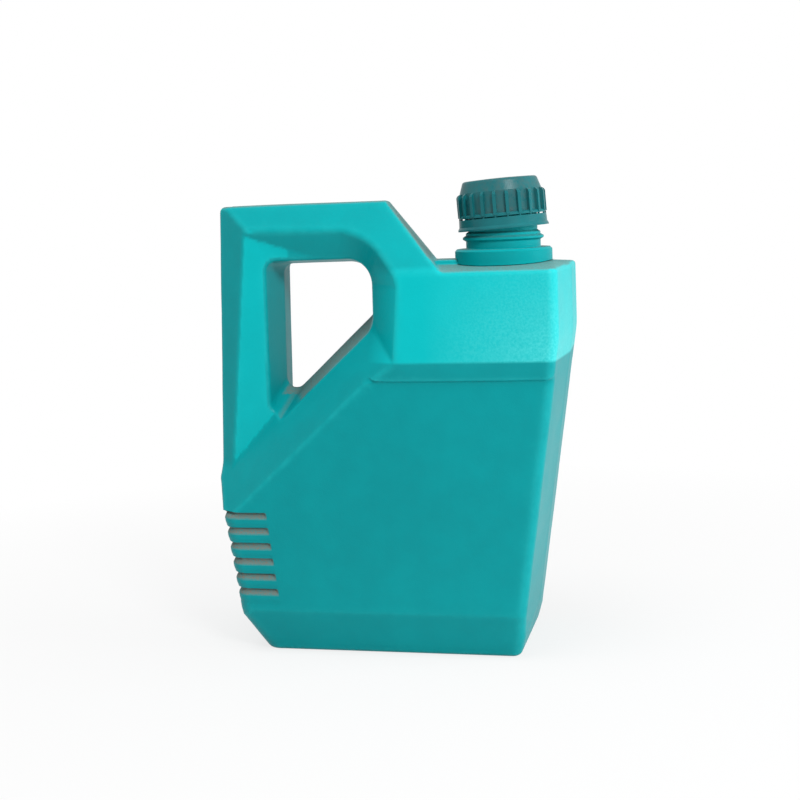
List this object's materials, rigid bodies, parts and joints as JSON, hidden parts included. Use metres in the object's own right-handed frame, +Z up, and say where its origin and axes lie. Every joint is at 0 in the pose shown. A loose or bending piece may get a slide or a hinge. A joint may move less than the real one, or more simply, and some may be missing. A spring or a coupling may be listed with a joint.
{
  "type": "motor oil jug",
  "caption": "Rectangular blown plastic jug for motor oil with a corner loop handle, grip grooves, a shoulder block and an offset neck with a ribbed screw cap and tamper band.",
  "frame": {"origin": "middle of the jug's footprint at the level it stands on", "axes": "+X to the neck's end, +Z up, the face seen in the picture looks along -Y"},
  "size_m": [0.2267, 0.1108, 0.2925],
  "materials": {
    "bottle": "satin, finely grained turquoise polyethylene",
    "cap": "smooth dark teal moulding",
    "cap_liner": "off-white foamed disc"
  },
  "bodies": {
    "jug": {"bottle": "bottle"},
    "liner": {"cap_liner": "cap_liner"},
    "cap": {"cap": "cap"}
  },
  "joints": [
    {"name": "cap_lift", "type": "slide", "parent": "jug", "child": "liner", "axis": [-0.0584, 0, 0.9983], "range_m": [-0.0093, 0.02]},
    {"name": "cap_turn", "type": "hinge", "parent": "liner", "child": "cap", "pos_m": [0.0713, 0, 0.268], "axis": [-0.0584, 0, 0.9983], "range_deg": [-280, 601]}
  ],
  "couplings": [
    {"joint": "cap_turn", "follows": "cap_lift", "rad_per_m": 523.6}
  ]
}
